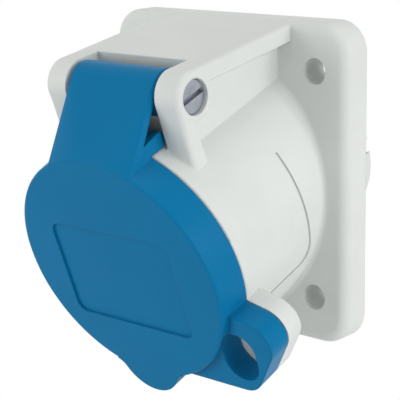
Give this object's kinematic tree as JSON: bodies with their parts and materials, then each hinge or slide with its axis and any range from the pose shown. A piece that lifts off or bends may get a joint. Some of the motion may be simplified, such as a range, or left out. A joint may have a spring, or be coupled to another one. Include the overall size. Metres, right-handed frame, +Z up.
{
  "type": "industrial panel socket",
  "caption": "Inclined panel-mounting industrial power socket with a square flange, a sprung hinged lid with thumb tongue and locking eye, and screw-terminal sleeve contacts.",
  "frame": {"origin": "centre of the four fixing holes, on the flange's back face where it meets the panel", "axes": "+Y into the panel, +Z up, +X to the right seen from the front; the socket projects towards -Y and tilts 20 degrees down"},
  "size_m": [0.0829, 0.0902, 0.0965],
  "materials": {
    "grey_plastic": "satin",
    "blue_plastic": "satin",
    "carrier_plastic": "satin",
    "block_plastic": "satin",
    "seal_rubber": "matt",
    "contact_brass": "satin",
    "pin_steel": "satin",
    "spring_steel": "satin",
    "screw_steel": "satin"
  },
  "bodies": {
    "base": {"housing": "grey_plastic", "flange_seal": "seal_rubber", "hinge_pin": "pin_steel", "lid_spring": "spring_steel", "contact_carrier": "carrier_plastic", "terminal_block": "block_plastic", "line_sleeve": "contact_brass", "neutral_sleeve": "contact_brass", "earth_sleeve": "contact_brass", "line_sleeve_ring": "spring_steel", "neutral_sleeve_ring": "spring_steel", "earth_sleeve_ring": "spring_steel", "line_clamp_plate": "screw_steel", "neutral_clamp_plate": "screw_steel", "earth_clamp_plate": "screw_steel", "terminal_screws": "screw_steel", "insert_screws": "screw_steel", "carrier_screw": "screw_steel", "insert_seal": "seal_rubber"},
    "lid": {"lid": "blue_plastic", "lid_seal": "seal_rubber"}
  },
  "joints": [
    {"name": "lid_hinge", "type": "hinge", "parent": "base", "child": "lid", "pos_m": [0, -0.04637, 0.02799], "axis": [-1, 0, 0], "range_deg": [0, 115], "stiffness_Nm_per_rad": 0.03, "springref_deg": -85.94}
  ]
}
